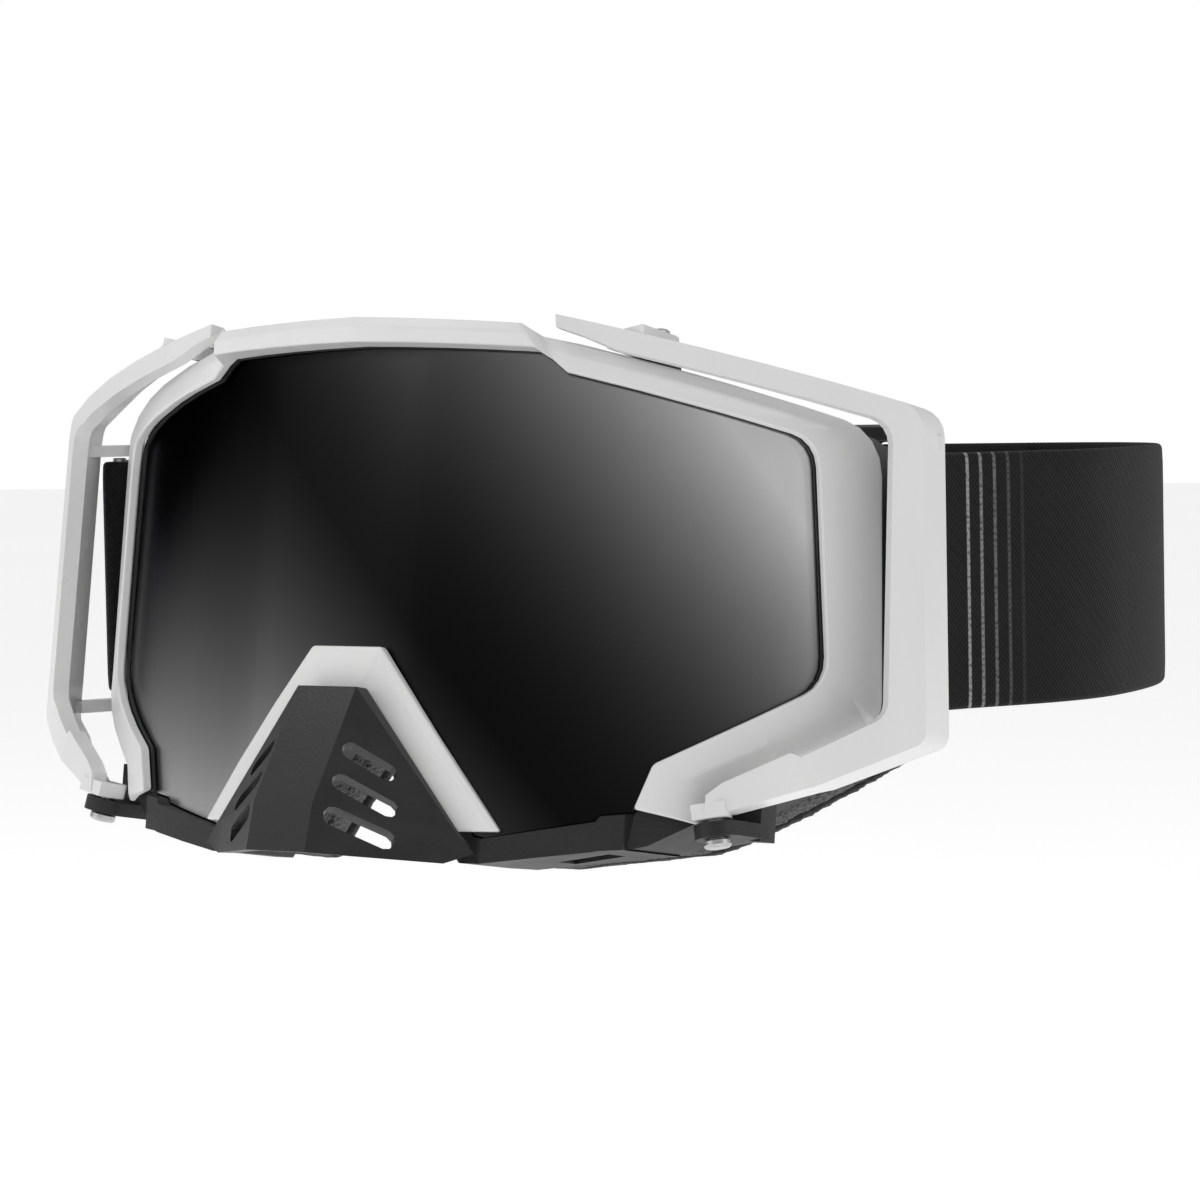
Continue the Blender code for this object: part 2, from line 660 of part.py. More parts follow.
def turned_pin(bm, seat, axis, tail, sides=16):
    """A pin with its head on the seat and its shank down to the tail."""
    radius = PIN_HEAD_R
    height = PIN_HEAD
    turn = axis.to_track_quat("Z", "Y").to_matrix()
    rows = (
        (tail, PIN_R - 0.3), (tail + axis * 0.3, PIN_R), (seat, PIN_R), (seat, radius),
        (seat + axis * (height - 0.4), radius), (seat + axis * height, radius - 0.4),
    )
    rings = []
    for centre, r in rows:
        ring = []
        for k in range(sides):
            t = 2.0 * math.pi * k / sides
            ring.append(bm.verts.new(centre + turn @ Vector((r * math.cos(t), r * math.sin(t), 0))))
        rings.append(ring)
    for a, b in zip(rings, rings[1:]):
        for k in range(sides):
            n = (k + 1) % sides
            bm.faces.new((a[k], a[n], b[n], b[k]))
    bm.faces.new(list(reversed(rings[0])))
    bm.faces.new(rings[-1])


# ---- strap --------------------------------------------------------------------
def bezier(p0, p1, p2, p3, count):
    out = []
    for k in range(count):
        t = k / count
        s = 1.0 - t
        out.append(Vector(p0) * s ** 3 + Vector(p1) * 3 * s * s * t
                   + Vector(p2) * 3 * s * t * t + Vector(p3) * t ** 3)
    return out


def strap_route():
    """Plan of one side of the strap, middle of the webbing, bar to rear."""
    turn = ROD_R + GAP + STRAP_T / 2.0
    wide = Vector((105.0, 95.0))
    end = Vector((61.0, STRAP_REAR_Y))
    outer = bezier((ROD[0] + turn, ROD[1] + 0.6), (92.5, 64.0), wide - Vector((0.0, 21.0)), wide, 9)
    outer += bezier(wide, wide + Vector((0.0, 33.0)), end + Vector((32.0, 0.0)), end, 12)
    outer.append(end)
    return turn, outer


def normals(points):
    out = []
    for i, p in enumerate(points):
        a = points[max(i - 1, 0)]
        b = points[min(i + 1, len(points) - 1)]
        way = (b - a).normalized()
        out.append(Vector((way.y, -way.x)))
    return out


def ribbon(points, thick, low, high):
    """Webbing on edge: a flat band along a plan route."""
    sections = []
    for p, n in zip(points, normals(points)):
        a = p + n * (thick / 2.0)
        b = p - n * (thick / 2.0)
        sections.append([Vector((a.x, a.y, low)), Vector((a.x, a.y, high)),
                         Vector((b.x, b.y, high)), Vector((b.x, b.y, low))])
    return sweep(sections, False)


def make_strap(parent):
    low = STRAP_Z - STRAP_W / 2.0
    high = STRAP_Z + STRAP_W / 2.0
    turn, outer = strap_route()
    # the end goes round the bar and lies back along the inside, sewn down
    inside = [p - n * (STRAP_T + GAP) for p, n in zip(outer, normals(outer))]
    tail = list(reversed(inside[3:7]))
    tail.append(Vector((ROD[0] - turn + 0.5, ROD[1] + 4.0)))
    bend = []
    for k in range(9):
        t = math.pi * (1.0 - k / 8.0)
        bend.append(Vector((ROD[0] + turn * math.cos(t), ROD[1] - turn * math.sin(t))))
    side_route = tail + bend + outer + [Vector((36.0, STRAP_REAR_Y)), Vector((10.0, STRAP_REAR_Y))]
    for side, tag in ((1, "left"), (-1, "right")):
        route = [Vector((p.x * side, p.y)) for p in side_route]
        solid("strap_" + tag, ribbon(route, STRAP_T, low, high), "webbing", parent)
    y = STRAP_REAR_Y - STRAP_T - GAP
    rear = [Vector((x, y)) for x in (-62.0, -40.0, -20.0, 0.0, 20.0, 40.0, 62.0)]
    solid("strap_rear", ribbon(rear, STRAP_T, low, high), "webbing", parent)
    for i, z in enumerate(GRIP_Z):
        bm = bmesh.new()
        box(bm, (0.0, y - STRAP_T / 2.0 - GAP - 0.35, STRAP_Z + z), (30.0, 0.7, 2.2))
        solid("grip_line_%d" % (i + 1), bm, "silicone", parent)


def make_strap_bar(side, tag, pivot):
    bm = bmesh.new()
    rod(bm, (side * ROD[0], ROD[1], ROD_Z[0]), (side * ROD[0], ROD[1], ROD_Z[1]), ROD_R)
    solid("strap_bar_" + tag, bm, "steel", pivot)


def make_slider(side, tag, parent):
    """A three-bar slide: two bars outside both layers, one bar inside."""
    outer_y = STRAP_REAR_Y + STRAP_T / 2.0 + GAP
    inner_y = STRAP_REAR_Y - STRAP_T * 1.5 - 2.0 * GAP
    tall = STRAP_W + 8.0
    wide = 22.0
    bar = 3.4
    deep = 2.2
    centre = (side * SLIDER_X, STRAP_REAR_Y, STRAP_Z)
    bm = bmesh.new()
    plan = ((-wide / 2.0, -wide / 2.0 + bar), (wide / 2.0 - bar, wide / 2.0))
    for x0, x1 in plan:
        box(bm, (centre[0] + (x0 + x1) / 2.0, outer_y + deep / 2.0, STRAP_Z), (x1 - x0, deep, tall))
    obj = solid("slider_" + tag, bm, "black", parent, centre)
    ends = bmesh.new()
    for z in (-1, 1):
        box(ends, (centre[0], (outer_y + deep + inner_y - deep) / 2.0,
                   STRAP_Z + z * (STRAP_W / 2.0 + 0.5 + 1.75)),
            (wide, outer_y - inner_y + 2.0 * deep, 3.5))
    box(ends, (centre[0], inner_y - deep / 2.0, STRAP_Z), (bar + 1.0, deep, tall - 1.0))
    boolean(obj, cutter("cut_slider_" + tag, ends, parent), "UNION")
    return obj


# ---- assembly -------------------------------------------------------------------
def build():
    clear_scene()
    root = empty("goggles", None, (0.0, -FACE_Y, -FACE_Z))
    lens_frame = empty("lens_frame", root, (0, 0, 0), (-LEAN, 0, 0))
    make_front_frame(lens_frame)
    make_gasket(lens_frame)
    make_lens(lens_frame)
    chassis = make_chassis(lens_frame)
    add_lugs(chassis, lens_frame)
    add_vents(chassis, lens_frame)
    make_foam(lens_frame)
    make_vent_foam(lens_frame)
    make_chevron(lens_frame)
    make_nose_guard(lens_frame)
    for side, tag in ((1, "left"), (-1, "right")):
        top, low, axis = pivot_points(side)
        middle = (top + low) / 2.0
        make_outrigger(side, tag, lens_frame, (lens_frame, middle))
        make_pins(side, tag, lens_frame)
        make_strap_bar(side, tag, root)
        make_slider(side, tag, root)
    make_strap(root)


build()
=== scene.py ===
"""Motorcycle goggles: the looks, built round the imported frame.

Meshes are in metres: +X is the wearer's left, -Y the front, +Z up.
The lens frame leans back by LEAN. In it, u is the arc length round the lens.
"""
import math

import bmesh
import bpy
from mathutils import Matrix, Vector, noise


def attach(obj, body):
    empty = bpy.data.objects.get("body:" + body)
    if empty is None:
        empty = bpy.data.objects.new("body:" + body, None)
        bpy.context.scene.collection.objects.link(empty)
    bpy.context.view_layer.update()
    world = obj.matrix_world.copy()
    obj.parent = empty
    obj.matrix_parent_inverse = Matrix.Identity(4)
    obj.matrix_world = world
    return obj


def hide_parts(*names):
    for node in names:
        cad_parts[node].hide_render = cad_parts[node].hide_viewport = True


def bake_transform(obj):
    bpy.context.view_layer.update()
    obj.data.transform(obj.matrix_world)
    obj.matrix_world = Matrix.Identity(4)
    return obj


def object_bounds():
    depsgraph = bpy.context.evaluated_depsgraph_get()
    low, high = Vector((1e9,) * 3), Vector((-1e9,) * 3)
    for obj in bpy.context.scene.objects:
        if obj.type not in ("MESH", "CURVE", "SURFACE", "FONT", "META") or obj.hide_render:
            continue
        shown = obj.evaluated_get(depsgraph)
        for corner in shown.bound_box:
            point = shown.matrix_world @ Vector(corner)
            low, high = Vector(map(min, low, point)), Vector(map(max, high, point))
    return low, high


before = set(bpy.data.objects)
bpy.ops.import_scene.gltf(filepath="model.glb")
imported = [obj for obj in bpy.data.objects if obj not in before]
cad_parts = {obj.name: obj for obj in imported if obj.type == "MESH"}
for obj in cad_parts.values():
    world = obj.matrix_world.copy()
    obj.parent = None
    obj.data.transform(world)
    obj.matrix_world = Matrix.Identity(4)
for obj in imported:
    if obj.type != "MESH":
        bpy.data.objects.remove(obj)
CAD_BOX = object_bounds()

MM = 0.001
LEAN = math.radians(9.49)
LENS_R = 98.0
FACE_Y = 37.4
FACE_Z = 8.0
LENS_FRONT = -3.4        # height off the cylinder of the lens's two faces
LENS_BACK = -5.2

# the strap's plan, level frame, millimetres, as the part lays it out
STRAP_W = 45.0
STRAP_T = 1.8
STRAP_Z = -1.0
ROD = (86.5, 51.4)
ROD_R = 1.3
GAP = 0.3
STRAP_REAR_Y = 155.0
STRAP_WIDE = Vector((105.0, 95.0))      # the widest place of the loop
STRAP_STRAIGHT = Vector((61.0, STRAP_REAR_Y))   # where the straight rear starts
STRAP_END_X = 10.0
TAIL_SAMPLES = slice(12, 25)            # the stretch that the sewn tail lies along
REAR_HALF = 62.0                        # half the length of the rear webbing
STRIPE_START = 0.0468                   # metres along the webbing
STRIPE_PITCH = 0.00295


# ---- node helpers ------------------------------------------------------------
class Nodes:
    """A short way to write a material's node tree."""

    def __init__(self, name):
        self.mat = bpy.data.materials.new(name)
        self.mat.use_nodes = True
        self.tree = self.mat.node_tree
        self.shader = self.tree.nodes["Principled BSDF"]

    def put(self, socket, value):
        if isinstance(value, bpy.types.NodeSocket):
            self.tree.links.new(value, socket)
        else:
            socket.default_value = value

    def math(self, op, a, b=0.0):
        node = self.tree.nodes.new("ShaderNodeMath")
        node.operation = op
        self.put(node.inputs[0], a)
        self.put(node.inputs[1], b)
        return node.outputs[0]

    def coords(self, kind="Object"):
        return self.tree.nodes.new("ShaderNodeTexCoord").outputs[kind]

    def split(self, vector):
        node = self.tree.nodes.new("ShaderNodeSeparateXYZ")
        self.put(node.inputs[0], vector)
        return node.outputs[0], node.outputs[1], node.outputs[2]

    def stretch(self, vector, scale):
        node = self.tree.nodes.new("ShaderNodeMapping")
        self.put(node.inputs["Vector"], vector)
        node.inputs["Scale"].default_value = scale
        return node.outputs[0]

    def noise(self, vector, scale, detail=3.0, rough=0.5):
        node = self.tree.nodes.new("ShaderNodeTexNoise")
        self.put(node.inputs["Vector"], vector)
        node.inputs["Scale"].default_value = scale
        node.inputs["Detail"].default_value = detail
        node.inputs["Roughness"].default_value = rough
        return node.outputs["Fac"]

    def cells(self, vector, scale, feature="F1"):
        node = self.tree.nodes.new("ShaderNodeTexVoronoi")
        node.feature = feature
        self.put(node.inputs["Vector"], vector)
        node.inputs["Scale"].default_value = scale
        return node.outputs["Distance"]

    def span(self, value, low, high, to_low, to_high):
        node = self.tree.nodes.new("ShaderNodeMapRange")
        self.put(node.inputs["Value"], value)
        node.inputs["From Min"].default_value = low
        node.inputs["From Max"].default_value = high
        node.inputs["To Min"].default_value = to_low
        node.inputs["To Max"].default_value = to_high
        return node.outputs["Result"]

    def mix(self, factor, a, b):
        node = self.tree.nodes.new("ShaderNodeMix")
        node.data_type = "RGBA"
        self.put(node.inputs[0], factor)
        self.put(node.inputs[6], a)
        self.put(node.inputs[7], b)
        return node.outputs[2]

    def bump(self, height, strength, distance, normal=None):
        node = self.tree.nodes.new("ShaderNodeBump")
        node.inputs["Strength"].default_value = strength
        node.inputs["Distance"].default_value = distance
        self.put(node.inputs["Height"], height)
        if normal is not None:
            self.put(node.inputs["Normal"], normal)
        return node.outputs["Normal"]

    def set(self, **values):
        names = {
            "base": "Base Color", "rough": "Roughness", "metal": "Metallic", "normal": "Normal",
            "sheen": "Sheen Weight", "sheen_rough": "Sheen Roughness", "coat": "Coat Weight",
            "coat_rough": "Coat Roughness", "specular": "Specular IOR Level",
            "tint": "Specular Tint",
        }
        for key, value in values.items():
            self.put(self.shader.inputs[names[key]], value)
        return self.mat


def grey(value, tone=1.0):
    return (value, value, value * tone, 1.0)


# ---- materials -----------------------------------------------------------------
def white_plastic():
    """Gloss moulded plastic: faint flow marks, a fine skin and scuffs."""
    n = Nodes("white_moulding")
    where = n.coords()
    flow = n.noise(n.stretch(where, (1.0, 1.0, 0.35)), 38.0, 4.0)
    skin = n.noise(where, 1900.0, 2.0)
    scuffs = n.noise(n.stretch(where, (1.0, 6.0, 1.0)), 420.0, 5.0, 0.7)
    marks = n.span(scuffs, 0.60, 0.78, 0.0, 1.0)
    base = n.mix(n.span(flow, 0.3, 0.7, 0.0, 1.0), grey(0.80, 0.99), grey(0.735, 1.0))
    base = n.mix(n.math("MULTIPLY", marks, 0.10), base, grey(0.42))
    rough = n.math("ADD", n.span(flow, 0.3, 0.7, 0.25, 0.34), n.math("MULTIPLY", marks, 0.14))
    bump = n.bump(skin, 0.10, 0.00006)
    return n.set(base=base, rough=rough, normal=bump, coat=0.12, coat_rough=0.12)


def black_plastic(name, low, high, rough_low, rough_high, grain):
    """Satin moulded plastic with a spark-eroded grain and rubbed patches."""
    n = Nodes(name)
    where = n.coords()
    patch = n.noise(where, 90.0, 5.0, 0.6)
    fine = n.noise(where, 2600.0, 2.0)
    pits = n.cells(where, 1500.0)
    rub = n.span(patch, 0.42, 0.72, 0.0, 1.0)
    base = n.mix(rub, grey(low), grey(high))
    base = n.mix(n.span(fine, 0.62, 0.8, 0.0, 0.35), base, grey(high * 3.0))
    rough = n.span(patch, 0.3, 0.7, rough_low, rough_high)
    bump = n.bump(fine, grain, 0.0001)
    bump = n.bump(pits, grain * 0.6, 0.00015, bump)
    return n.set(base=base, rough=rough, normal=bump)


def mirror_with_painted_reflection():
    """Silver mirror with a painted reflection: a dark band and bright sides, set by u and z on
    the lens, stand in for the studio seen in it.
    """
    n = Nodes("lens_mirror_painted_reflection")
    u, z, _ = n.split(n.coords("UV"))
    u = n.math("MULTIPLY", u, 1000.0)
    z = n.math("MULTIPLY", z, 1000.0)
    # painted reflection: the tone below darkens a diagonal band and brightens both sides as the
    # studio's reflection would
    band = n.math("SUBTRACT", n.math("ADD", u, n.math("MULTIPLY", z, 0.95)), 6.0)
    right = n.math("MAXIMUM", band, 0.0)
    left = n.math("MAXIMUM", n.math("MULTIPLY", band, -1.0), 0.0)
    lift = n.math("MULTIPLY", n.math("POWER", right, 2.0), 0.0225 / 255.0)
    slope = n.math("ADD", n.math("MULTIPLY", z, -0.021 / 255.0), 1.22 / 255.0)
    tone = n.math("ADD", n.math("ADD", lift, n.math("MULTIPLY", left, slope)), 30.0 / 255.0)
    tone = n.math("MINIMUM", tone, 0.86)
    smudge = n.noise(n.coords(), 26.0, 3.0)
    tone = n.math("MULTIPLY", tone, n.span(smudge, 0.3, 0.7, 0.985, 1.015))
    light = n.math("POWER", tone, 2.2)
    colour = n.tree.nodes.new("ShaderNodeCombineColor")
    for socket in colour.inputs[:3]:
        n.put(socket, light)
    rough = n.span(smudge, 0.3, 0.7, 0.22, 0.27)
    return n.set(base=colour.outputs[0], rough=rough, metal=1.0, tint=(0.25, 0.25, 0.26, 1.0))


def webbing(name, stripes):
    """Woven elastic: ribs and picks from the band's own length and width."""
    n = Nodes(name)
    along, across, _ = n.split(n.coords("UV"))
    rib = n.math("SINE", n.math("MULTIPLY", across, 2.0 * math.pi / 0.00105))
    pick = n.math("SINE", n.math("MULTIPLY", along, 2.0 * math.pi / 0.00085))
    slant = n.math("ADD", along, across)
    twill = n.math("SINE", n.math("MULTIPLY", slant, 2.0 * math.pi / 0.0026))
    weave = n.math("MULTIPLY", rib, pick)
    height = n.math("ADD", n.math("MULTIPLY", weave, 0.5), n.math("MULTIPLY", twill, 0.18))
    fuzz = n.noise(n.coords(), 1500.0, 4.0, 0.7)
    wear = n.noise(n.coords(), 60.0, 4.0, 0.6)
    base = n.mix(n.span(height, -0.5, 0.6, 0.0, 1.0), grey(0.0025), grey(0.0065))
    base = n.mix(n.span(fuzz, 0.62, 0.82, 0.0, 0.8), base, grey(0.015))
    base = n.mix(n.span(wear, 0.5, 0.75, 0.0, 0.25), base, grey(0.016))
    if stripes:
        place = n.math("DIVIDE", n.math("SUBTRACT", along, stripes[0]), stripes[1])
        which = n.math("ROUND", place)
        off = n.math("ABSOLUTE", n.math("SUBTRACT", place, which))
        line = n.span(off, 0.085, 0.14, 1.0, 0.0)
        inside = n.math("MULTIPLY", n.math("GREATER_THAN", which, -0.5),
                        n.math("LESS_THAN", which, 4.5))
        fade = n.math("POWER", n.span(which, 0.0, 5.0, 1.0, 0.0), 1.7)
        thread = n.span(n.math("ADD", fuzz, n.math("MULTIPLY", rib, 0.06)), 0.36, 0.52, 0.35, 1.0)
        drawn = n.math("MULTIPLY", line, inside)
        amount = n.math("MULTIPLY", drawn, n.math("MULTIPLY", fade, thread))
        base = n.mix(amount, base, grey(0.30))
    bump = n.bump(height, 0.75, 0.00018)
    bump = n.bump(fuzz, 0.25, 0.0001, bump)
    return n.set(base=base, rough=0.82, normal=bump, sheen=0.06, sheen_rough=0.5, specular=0.25)


def foam_material(name, dark, light):
    """Open-cell foam: small pores between thin walls."""
    n = Nodes(name)
    where = n.coords()
    pores = n.cells(where, 1150.0)
    small = n.cells(where, 2700.0)
    tone = n.noise(where, 70.0, 3.0)
    open_cell = n.span(pores, 0.18, 0.55, 0.0, 1.0)
    base = n.mix(open_cell, grey(dark, 1.02), grey(light, 1.02))
    base = n.mix(n.span(tone, 0.4, 0.7, 0.0, 0.4), base, grey(light * 1.25))
    bump = n.bump(pores, 0.9, 0.0007)
    bump = n.bump(small, 0.5, 0.0003, bump)
    return n.set(base=base, rough=0.95, normal=bump, specular=0.2)


def fleece_material():
    """Brushed fleece: short fibres that lie in soft tufts."""
    n = Nodes("face_fleece")
    where = n.coords()
    fibres = n.noise(n.stretch(where, (1.0, 0.5, 1.0)), 2400.0, 5.0, 0.75)
    tufts = n.noise(where, 420.0, 4.0, 0.6)
    base = n.mix(n.span(fibres, 0.35, 0.7, 0.0, 1.0), grey(0.010), grey(0.045))
    base = n.mix(n.span(tufts, 0.45, 0.7, 0.0, 0.5), base, grey(0.028))
    bump = n.bump(fibres, 0.8, 0.0004)
    bump = n.bump(tufts, 0.5, 0.0006, bump)
    return n.set(base=base, rough=1.0, normal=bump, sheen=0.35, sheen_rough=0.4, specular=0.1)


def steel_material():
    n = Nodes("turned_steel")
    where = n.coords()
    lines = n.noise(n.stretch(where, (1.0, 1.0, 14.0)), 700.0, 3.0)
    base = n.mix(n.span(lines, 0.3, 0.7, 0.0, 1.0), grey(0.42), grey(0.60))
    return n.set(base=base, rough=n.span(lines, 0.3, 0.7, 0.24, 0.4), metal=1.0,
                 normal=n.bump(lines, 0.2, 0.00005))


def rubber_material(name, level, rough):
    n = Nodes(name)
    where = n.coords()
    fine = n.noise(where, 1700.0, 3.0)
    bloom = n.noise(where, 110.0, 3.0)
    base = n.mix(n.span(bloom, 0.4, 0.7, 0.0, 1.0), grey(level), grey(level * 1.5))
    return n.set(base=base, rough=rough, normal=n.bump(fine, 0.25, 0.0001))


def thread_material(level):
    n = Nodes("thread_%02d" % round(level * 100))
    twist = n.noise(n.stretch(n.coords(), (3.0, 3.0, 1.0)), 2600.0, 2.0)
    base = n.mix(n.span(twist, 0.3, 0.7, 0.0, 1.0), grey(level * 0.5), grey(level))
    return n.set(base=base, rough=0.7, normal=n.bump(twist, 0.5, 0.0001), sheen=0.2)


def floor_material():
    n = Nodes("studio_floor")
    mottle = n.noise(n.coords(), 3.0, 2.0)
    n.set(base=n.mix(mottle, grey(0.90), grey(0.93)), rough=0.9, specular=0.05)
    n.shader.inputs["Emission Color"].default_value = grey(1.0)
    n.shader.inputs["Emission Strength"].default_value = 0.42
    return n.mat


# ---- mesh helpers ----------------------------------------------------------------
def link(name, mesh, mat):
    obj = bpy.data.objects.new(name, mesh)
    bpy.context.scene.collection.objects.link(obj)
    mesh.materials.append(mat)
    return obj


def clean_copy(node, dissolve):
    """The node's surface as a bmesh with joined vertices and whole flat faces."""
    bm = bmesh.new()
    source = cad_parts[node].data
    verts = [bm.verts.new(v.co) for v in source.vertices]
    for poly in source.polygons:
        try:
            bm.faces.new([verts[i] for i in poly.vertices])
        except ValueError:
            continue
    bmesh.ops.remove_doubles(bm, verts=bm.verts[:], dist=0.00002)
    if dissolve:
        bmesh.ops.dissolve_limit(bm, angle_limit=math.radians(dissolve), verts=bm.verts[:],
                                 edges=bm.edges[:])
    return bm


def finish_mesh(name, bm, sharp=180.0):
    mesh = bpy.data.meshes.new(name)
    bm.to_mesh(mesh)
    bm.free()
    for poly in mesh.polygons:
        poly.use_smooth = True
    if sharp < 180.0:
        mesh.set_sharp_from_angle(angle=math.radians(sharp))
    return mesh


def skin(node, body, mat, slot, width, limit=28.0, dissolve=1.2):
    """A copy of a moulded node with its edges rounded off."""
    bm = clean_copy(node, dissolve)
    obj = link(node + "_shell", finish_mesh(node + "_shell", bm, 60.0), mat)
    bevel = obj.modifiers.new("edges", "BEVEL")
    bevel.width = width * MM
    bevel.segments = 3
    bevel.limit_method = "ANGLE"
    bevel.angle_limit = math.radians(limit)
    bevel.harden_normals = True
    bevel.use_clamp_overlap = True
    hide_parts(node)
    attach(obj, body)


def soft_copy(node, body, mat, voxel, rounds, ripple):
    """Foam: the node's block made into one skin, its corners sunk and its faces uneven."""
    bm = clean_copy(node, 0)
    obj = link(node + "_soft", finish_mesh(node + "_soft", bm), mat)
    remesh = obj.modifiers.new("skin", "REMESH")
    remesh.mode = "VOXEL"
    remesh.voxel_size = voxel * MM
    remesh.use_smooth_shade = True
    smooth = obj.modifiers.new("corners", "SMOOTH")
    smooth.factor = 0.5
    smooth.iterations = rounds
    graph = bpy.context.evaluated_depsgraph_get()
    mesh = bpy.data.meshes.new_from_object(obj.evaluated_get(graph))
    obj.modifiers.clear()
    old = obj.data
    obj.data = mesh
    bpy.data.meshes.remove(old)
    normals = [v.normal.copy() for v in mesh.vertices]
    for v, normal in zip(mesh.vertices, normals):
        swell = noise.noise(v.co * 90.0) * 0.7 + noise.noise(v.co * 260.0) * 0.3
        v.co += normal * (swell * ripple * MM)
    for poly in mesh.polygons:
        poly.use_smooth = True
    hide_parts(node)
    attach(obj, body)


# ---- lens ---------------------------------------------------------------------------
def lens_coords(p):
    """A point in metres as arc length, height off the cylinder and z, millimetres."""
    y = p.y / MM + FACE_Y
    z = p.z / MM + FACE_Z
    c = math.cos(LEAN)
    s = math.sin(LEAN)
    ahead = y * c - z * s
    return (LENS_R * math.atan2(p.x / MM, LENS_R - ahead),
            math.hypot(p.x / MM, LENS_R - ahead) - LENS_R, y * s + z * c)


def lens_point(u, off, z):
    """The reverse of lens_coords: millimetres on the lens to a point in metres."""
    angle = u / LENS_R
    x = (LENS_R + off) * math.sin(angle)
    y = LENS_R - (LENS_R + off) * math.cos(angle)
    c = math.cos(LEAN)
    s = math.sin(LEAN)
    return Vector((x, y * c + z * s - FACE_Y, -y * s + z * c - FACE_Z)) * MM


def lens_outline():
    """The lens's front edge as a loop of (u, z)."""
    bm = clean_copy("lens", 0)
    front = {v for v in bm.verts if lens_coords(v.co)[1] > (LENS_FRONT + LENS_BACK) / 2.0}
    faces = {f for f in bm.faces if all(v in front for v in f.verts)}
    edges = {e for e in bm.edges if len([f for f in e.link_faces if f in faces]) == 1}
    vert = next(iter(sorted(edges, key=lambda e: e.index))).verts[0]
    loop = []
    seen = set()
    while vert is not None and vert not in seen:
        seen.add(vert)
        u, _, z = lens_coords(vert.co)
        loop.append((u, z))
        ahead = [e.other_vert(vert) for e in vert.link_edges if e in edges]
        ahead = [v for v in ahead if v not in seen]
        vert = ahead[0] if ahead else None
    bm.free()
    return loop


def make_lens(mat):
    bm = bmesh.new()
    ring = [bm.verts.new((u, 0.0, z)) for u, z in lens_outline()]
    bmesh.ops.triangulate(bm, faces=[bm.faces.new(ring)])
    for axis, low, high, step in ((0, -90.0, 90.0, 3.0), (2, -40.0, 44.0, 6.0)):
        place = low
        while place <= high:
            at = [0.0, 0.0, 0.0]
            way = [0.0, 0.0, 0.0]
            at[axis] = place
            way[axis] = 1.0
            bmesh.ops.bisect_plane(bm, geom=bm.verts[:] + bm.edges[:] + bm.faces[:],
                                   plane_co=at, plane_no=way, dist=0.02)
            place += step
    made = bmesh.ops.extrude_face_region(bm, geom=bm.faces[:])["geom"]
    back = {g for g in made if isinstance(g, bmesh.types.BMVert)}
    uv = bm.loops.layers.uv.new("lens_uv")
    for face in bm.faces:
        for loop in face.loops:
            loop[uv].uv = (loop.vert.co.x * MM, loop.vert.co.z * MM)
    for v in bm.verts:
        v.co = lens_point(v.co.x, LENS_BACK if v in back else LENS_FRONT, v.co.z)
    bmesh.ops.recalc_face_normals(bm, faces=bm.faces[:])
    obj = link("lens_curved", finish_mesh("lens_curved", bm, 40.0), mat)
    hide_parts("lens")
    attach(obj, "frame")


# ---- strap ---------------------------------------------------------------------------
def bezier(p0, p1, p2, p3, count):
    out = []
    for k in range(count):
        t = k / count
        s = 1.0 - t
        out.append(Vector(p0) * s ** 3 + Vector(p1) * 3 * s * s * t
                   + Vector(p2) * 3 * s * t * t + Vector(p3) * t ** 3)
    return out


def plan_normals(points):
    out = []
    for i in range(len(points)):
        a = points[max(i - 1, 0)]
        b = points[min(i + 1, len(points) - 1)]
        way = (b - a).normalized()
        out.append(Vector((way.y, -way.x)))
    return out


def side_route():
    """Plan of one side: sewn tail, round the bar, out and back to the slide."""
    turn = ROD_R + GAP + STRAP_T / 2.0
    wide = STRAP_WIDE
    end = STRAP_STRAIGHT
    start = (ROD[0] + turn, ROD[1] + 0.6)
    outer = bezier(start, (92.5, 64.0), wide - Vector((0.0, 21.0)), wide, 36)
    outer += bezier(wide, wide + Vector((0.0, 33.0)), end + Vector((32.0, 0.0)), end, 48)
    outer.append(end)
    inside = [p - n * (STRAP_T + GAP) for p, n in zip(outer, plan_normals(outer))]
    tail = list(reversed(inside[TAIL_SAMPLES]))
    tail.append(Vector((ROD[0] - turn + 0.5, ROD[1] + 4.0)))
    bend = []
    for k in range(17):
        t = math.pi * (1.0 - k / 16.0)
        bend.append(Vector((ROD[0] + turn * math.cos(t), ROD[1] - turn * math.sin(t))))
    rear = [Vector((36.0, STRAP_REAR_Y)), Vector((STRAP_END_X, STRAP_REAR_Y))]
    return tail + bend + outer + rear


def resample(points, step):
    """The same route in even steps, with the distance run at each point."""
    runs = [0.0]
    for a, b in zip(points, points[1:]):
        runs.append(runs[-1] + (b - a).length)
    count = max(2, int(runs[-1] / step))
    out = []
    k = 0
    for i in range(count + 1):
        run = runs[-1] * i / count
        while k < len(runs) - 2 and runs[k + 1] < run:
            k += 1
        t = (run - runs[k]) / max(runs[k + 1] - runs[k], 1e-9)
        out.append((points[k].lerp(points[k + 1], t), run))
    return out


def band_profile():
    """Cross-section of the webbing: (height off the middle, across), millimetres."""
    half = STRAP_W / 2.0
    thick = STRAP_T / 2.0
    across = [-half + 1.0 + (STRAP_W - 2.0) * k / 18.0 for k in range(19)]
    face = [(thick - 0.14 * math.exp(-((half - abs(v)) / 1.6) ** 2 * 0.5), v) for v in across]
    edge = [(thick * 0.86 * math.cos(t), half - 1.0 + 1.0 * math.sin(t))
            for t in (0.5, 1.1, 1.5708, 2.04, 2.64)]
    top = face + edge
    return top + [(-a, -v) for a, v in top]


def level_point(p, v):
    """A plan point of the level frame, v millimetres above the strap's middle."""
    return Vector((p.x, p.y - FACE_Y, STRAP_Z + v - FACE_Z)) * MM


